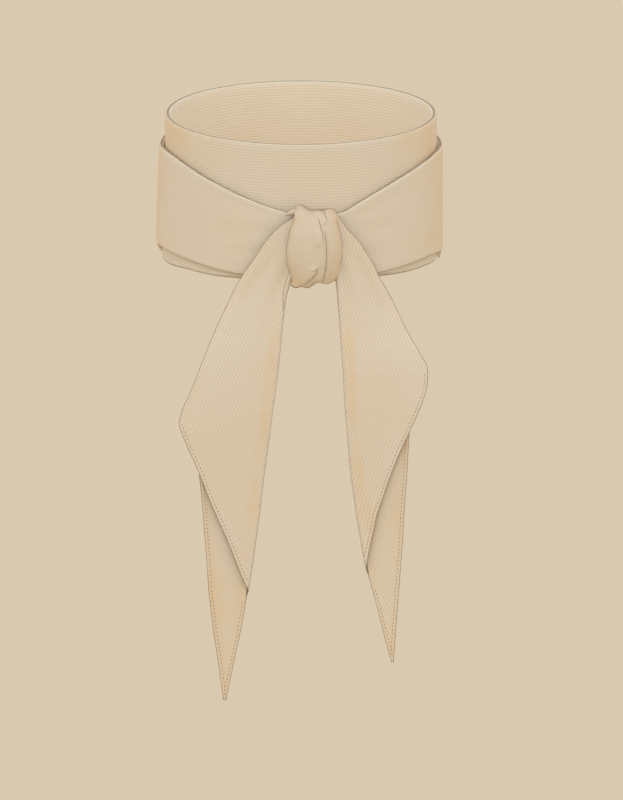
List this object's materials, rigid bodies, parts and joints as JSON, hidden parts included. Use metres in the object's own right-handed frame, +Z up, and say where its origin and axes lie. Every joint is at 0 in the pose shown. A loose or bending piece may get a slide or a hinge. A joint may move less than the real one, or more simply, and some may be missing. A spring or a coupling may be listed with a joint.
{
  "type": "cravat",
  "caption": "Ribbed neckcloth folded into a band, wound twice round the neck and knotted at the throat, with two pointed ends hanging folded lengthwise; worn form, hollow",
  "frame": {"origin": "centre of the neck opening, halfway up the neck band, where the wearer's neck holds it", "axes": "+Z up along the neck, the knot and tails at -Y in front, +X to the viewer's right"},
  "size_m": [0.1327, 0.1485, 0.2639],
  "materials": {
    "ribbed_cloth": "matte fine rib",
    "knot_cloth": "matte fine rib, drawn tight"
  },
  "bodies": {
    "root": {"neck_band": "ribbed_cloth", "wrap_left": "ribbed_cloth", "wrap_right": "ribbed_cloth", "tail_left": "ribbed_cloth", "tail_right": "ribbed_cloth", "knot": "knot_cloth"}
  },
  "joints": []
}
